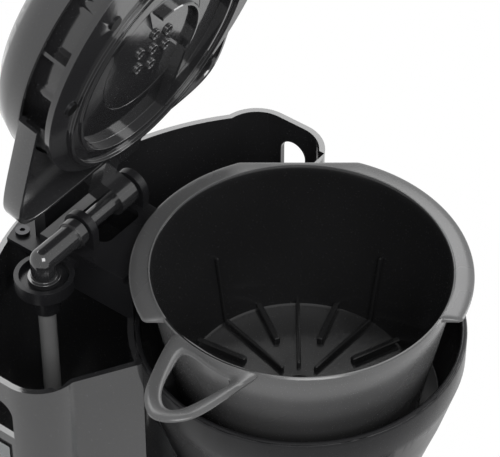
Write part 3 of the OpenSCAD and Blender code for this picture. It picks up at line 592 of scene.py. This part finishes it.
def rib_set(name, places, length, thickness, height):
    """One set of equal ribs: places are (x, y, z, lean, turn) in the basket, in millimetres and degrees."""
    sizes = {"Length": length, "Thickness": thickness, "Height": height}
    return grown(name, [in_bowl(x, y, z) for x, y, z, _, _ in places], ribs,
                 {rib_inputs[key]: value * mm for key, value in sizes.items()},
                 [(0.0, math.radians(lean), math.radians(about) + turn) for _, _, _, lean, about in places])


def around(radius, z, angle, lean):
    """A rib's place on a circle round the basket's axis, pointing at it."""
    return (radius * math.cos(math.radians(angle)), radius * math.sin(math.radians(angle)), z, lean, angle)


add_piece("basket_cup", basket_cup, basket_grey, "basket", "grey_plastic", "basket")
# Painted light: the cup's faces that look away from its axis get the lighter copy, so its outside is painted
# lighter than its inside.
basket_cup.materials.append(lit_basket_grey)  # for the cup's outside, as on the flange
for face in basket_cup.polygons:
    if face.normal.dot((face.center - basket_axis) * Vector((1, 1, 0))) > 0:
        face.material_index = 1
add_piece("basket_flange", basket_flange, lit_basket_grey, "basket", "grey_plastic")
add_piece("basket_grip", basket_grip, lit_basket_grey, "basket", "grey_plastic")
wall_lean = -math.degrees(math.atan2(cup_depth, rim_r - floor_r))
for name, radius, lift, lean, angles, length, thickness, height in (
        ("long_ribs", 28.8, 1.2, 0.0, range(10, 360, 40), 37.5, 1.7, 3.4),
        ("short_ribs", 36.5, 1.4, 0.0, range(30, 360, 40), 23.0, 2.6, 3.8),
        ("wall_ribs", 49.4, 17.0, wall_lean, (50, 130, 230, 310), 34.0, 1.7, 2.4)):
    places = [around(radius, floor_z + lift, angle, lean) for angle in angles]
    rib_mesh = rib_set(name, places, length, thickness, height)
    piece = add_piece(name, rib_mesh, basket_grey, "basket", "grey_plastic")
    rounding = piece.modifiers.new("rounded", "BEVEL")
    rounding.width = 0.0006
    rounding.segments = 2

# Drip valve: a plastic body and plunger, a silicone seal, and a coil of spring steel between body and
# plunger. In the real valve the coil is pressed together as the plunger rises; here it is a plain copy of the
# CAD coil.
dress(gloss_black, "valve_body")
dress(silicone, "valve_seal")
dress(ivory, "valve_plunger")
spring_low, spring_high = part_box("valve_spring")
valve_joint = next(joint for joint in frame["record"]["behaviour"]["joints"] if joint["name"] == "drip_valve")
valve_lift = valve_joint["range_m"][1]
spring_steel = metal("spring_steel", (0.6, 0.6, 0.61), 0.22)
spring = add_piece("valve_coil", frame["nodes"]["valve_spring"].data.copy(), spring_steel, "basket", "steel",
                   "valve_spring")
1 - valve_lift / (spring_high.z - spring_low.z)
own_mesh(spring)

# Carafe: a blown glass jug with a steel band round its neck. The moulded handle is screwed to the band,
# and the lid turns into place in the jug's mouth.
dress(clear("glass", (0.95, 0.97, 0.97)), "carafe_glass")
dress(brushed_steel, "carafe_band")
dress(zinc, "carafe_screw")
moulded("carafe_handle", gloss_black, "carafe", "gloss_black", 0.0015, 3)
moulded("carafe_lid", gloss_black, "carafe_lid", "gloss_black", 0.0006)

# Room: a pale floor and a pale sky, which the camera, gloss and glass see as plain white, and three soft
# boxes above and round the machine.
ground_reach, ground_z = 4.0, -0.0005
ground_corners = [(ground_reach * x, ground_reach * y, ground_z)
                  for x, y in ((-1, -1), (1, -1), (1, 1), (-1, 1))]
floor_mesh = bpy.data.meshes.new("floor")
floor_mesh.from_pydata(ground_corners, [], [(0, 1, 2, 3)])
floor = bpy.data.objects.new("floor", floor_mesh)
bpy.context.scene.collection.objects.link(floor)


def shown_white(tree):
    """1 for the rays that should meet plain white: the camera's, and those off gloss and through glass."""
    rays = Socket(tree).node("ShaderNodeLightPath")
    camera_ray, gloss_ray, glass_ray = (rays.output(f"Is {kind} Ray")
                                        for kind in ("Camera", "Glossy", "Transmission"))
    return camera_ray.maths("MAXIMUM", gloss_ray).maths("MAXIMUM", glass_ray)


floor_material, _, floor_surface = shader("floor")
floor_surface.inputs["Base Color"].default_value = (0.8, 0.8, 0.8, 1)
floor_surface.inputs["Roughness"].default_value = 0.8
floor_tree = floor_material.node_tree
seen = shown_white(floor_tree)
white = seen.node("ShaderNodeEmission")
mixed = seen.node("ShaderNodeMixShader", None, seen, Socket(floor_tree, floor_surface.outputs[0]), white)
plug(floor_tree, floor_tree.nodes["Material Output"].inputs[0], mixed)
floor_mesh.materials.append(floor_material)

world = bpy.data.worlds.new("world")
bpy.context.scene.world = world
world.use_nodes = True
sky = world.node_tree
seen = shown_white(sky)
sky_grey, sky_white = (0.45, 0.45, 0.45, 1), (1, 1, 1, 1)
tone = seen.node("ShaderNodeMix", {"data_type": "RGBA"}, seen, sky_grey, sky_white)
plug(sky, sky.nodes["Background"].inputs[0], tone)


def softbox(name, place, size, power):
    """A rectangular soft box that faces the middle of the bowl's rim."""
    data = bpy.data.lights.new(name, "AREA")
    data.shape = "RECTANGLE"
    data.size, data.size_y = size
    data.energy = power
    lamp = bpy.data.objects.new(name, data)
    lamp.location = place
    towards = basket_axis + Vector((0, 0, bowl_top)) - Vector(place)
    lamp.rotation_mode = "QUATERNION"
    lamp.rotation_quaternion = towards.to_track_quat("-Z", "Y")
    bpy.context.scene.collection.objects.link(lamp)


softbox("key", (-0.9, -1.0, 1.5), (0.9, 0.9), 22)
softbox("back", (0.81, 0.94, 1.75), (2.3, 1.1), 32)
softbox("side", (1.5, -1.0, 0.7), (0.6, 1.4), 18)
bpy.context.scene.view_settings.view_transform = "Standard"
